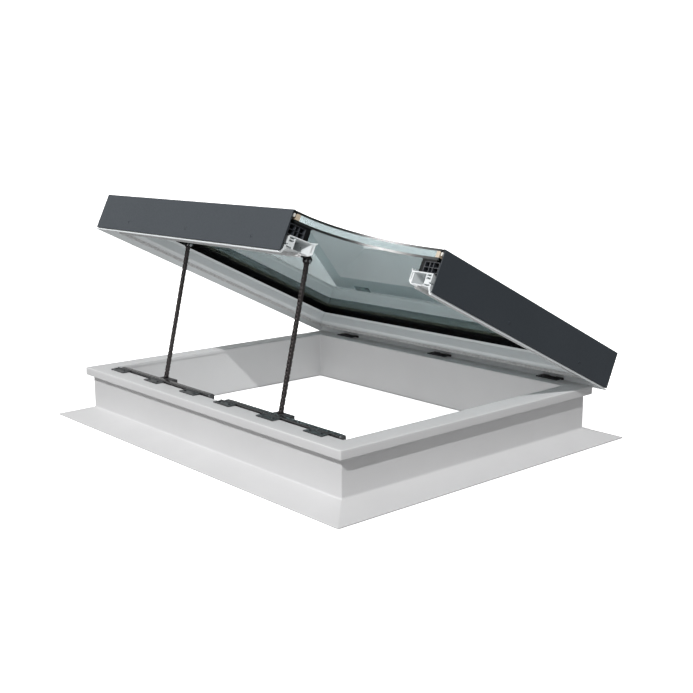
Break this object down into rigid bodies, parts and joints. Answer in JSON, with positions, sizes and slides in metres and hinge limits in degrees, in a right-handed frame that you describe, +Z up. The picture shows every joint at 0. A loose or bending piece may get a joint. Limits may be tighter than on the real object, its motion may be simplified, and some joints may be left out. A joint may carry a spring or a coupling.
{
  "type": "roof skylight",
  "caption": "Opening roof skylight: moulded upstand, hinged glazed sash with a cut-away corner, and chain drives that push the sash open.",
  "frame": {"origin": "middle of the upstand flange's underside, on the roof surface", "axes": "+Z up, +Y towards the hinge side, -Y towards the drive side, +X along the drive side to the right as seen from the drives"},
  "size_m": [1.332, 1.0981, 0.6791],
  "materials": {
    "upstand_laminate": "moulded glass-fibre laminate, satin",
    "frame_white": "extruded window plastic, satin",
    "insert_dark": "extruded, matt black",
    "cladding_grey": "powder coat, fine satin, anthracite",
    "pane_glass": "float glass with a faint green tone",
    "spacer_beige": "warm-edge spacer with sealant",
    "gasket_black": "matt black rubber",
    "sealant_black": "black silicone",
    "cord_white": "closed-cell foam cord",
    "seal_grey": "light grey rubber",
    "hinge_black": "black powder coat on steel",
    "drive_outlet_dark": "moulded, fine texture",
    "drive_cap_grey": "moulded, fine texture",
    "drive_housing_dark": "coated aluminium extrusion",
    "motor_steel": "bare steel",
    "bracket_dark": "powder coat on steel",
    "chain_steel": "dark burnished steel",
    "fixing_steel": "zinc-plated steel"
  },
  "bodies": {
    "upstand_body": {"upstand": "upstand_laminate", "hinge_left_rim_leaf": "hinge_black", "hinge_left_pin": "fixing_steel", "hinge_middle_rim_leaf": "hinge_black", "hinge_middle_pin": "fixing_steel", "hinge_right_rim_leaf": "hinge_black", "hinge_right_pin": "fixing_steel", "hinge_rim_screws": "fixing_steel", "drive_left_housing": "drive_housing_dark", "drive_left_outer_cap": "drive_cap_grey", "drive_left_inner_cap": "drive_cap_grey", "drive_left_outlet": "drive_outlet_dark", "drive_left_gear_motor": "motor_steel", "drive_left_bracket_a": "bracket_dark", "drive_left_bracket_b": "bracket_dark", "drive_left_bracket_c": "bracket_dark", "drive_right_housing": "drive_housing_dark", "drive_right_outer_cap": "drive_cap_grey", "drive_right_inner_cap": "drive_cap_grey", "drive_right_outlet": "drive_outlet_dark", "drive_right_gear_motor": "motor_steel", "drive_right_bracket_a": "bracket_dark", "drive_right_bracket_b": "bracket_dark", "drive_right_bracket_c": "bracket_dark", "bracket_screws": "fixing_steel"},
    "sash": {"sash_rail_front": "frame_white", "sash_rail_right": "frame_white", "sash_rail_back": "frame_white", "sash_rail_left": "frame_white", "insert_front": "insert_dark", "insert_right": "insert_dark", "insert_back": "insert_dark", "insert_left": "insert_dark", "cladding_front": "cladding_grey", "cladding_right": "cladding_grey", "cladding_back": "cladding_grey", "cladding_left": "cladding_grey", "outer_pane": "pane_glass", "inner_pane": "pane_glass", "edge_spacer": "spacer_beige", "glazing_gasket": "gasket_black", "backing_cord": "cord_white", "weather_seal": "sealant_black", "rim_seal": "seal_grey", "cladding_screws": "cladding_grey", "hinge_left_sash_leaf": "hinge_black", "hinge_middle_sash_leaf": "hinge_black", "hinge_right_sash_leaf": "hinge_black", "hinge_sash_screws": "fixing_steel", "chain_left_end_bracket": "hinge_black", "chain_left_end_pin": "fixing_steel", "chain_right_end_bracket": "hinge_black", "chain_right_end_pin": "fixing_steel", "end_bracket_screws": "fixing_steel"},
    "chain_left_link": {"chain_left": "chain_steel"},
    "chain_right_link": {"chain_right": "chain_steel"}
  },
  "joints": [
    {"name": "sash_hinge", "type": "hinge", "parent": "upstand_body", "child": "sash", "pos_m": [0, 0.4955, 0.15], "axis": [-1, 0, 0], "range_deg": [-25.5, 0]},
    {"name": "chain_left_swing", "type": "hinge", "parent": "upstand_body", "child": "chain_left_link", "pos_m": [-0.291, -0.386, 0.152], "axis": [-1, 0, 0], "range_deg": [-13.5, 0], "deforming": ["chain_left"]},
    {"name": "chain_right_swing", "type": "hinge", "parent": "upstand_body", "child": "chain_right_link", "pos_m": [0.256, -0.386, 0.152], "axis": [-1, 0, 0], "range_deg": [-13.5, 0], "deforming": ["chain_right"]}
  ],
  "couplings": [
    {"joint": "chain_left_swing", "follows": "sash_hinge", "ratio": 0.52},
    {"joint": "chain_right_swing", "follows": "sash_hinge", "ratio": 0.52}
  ]
}
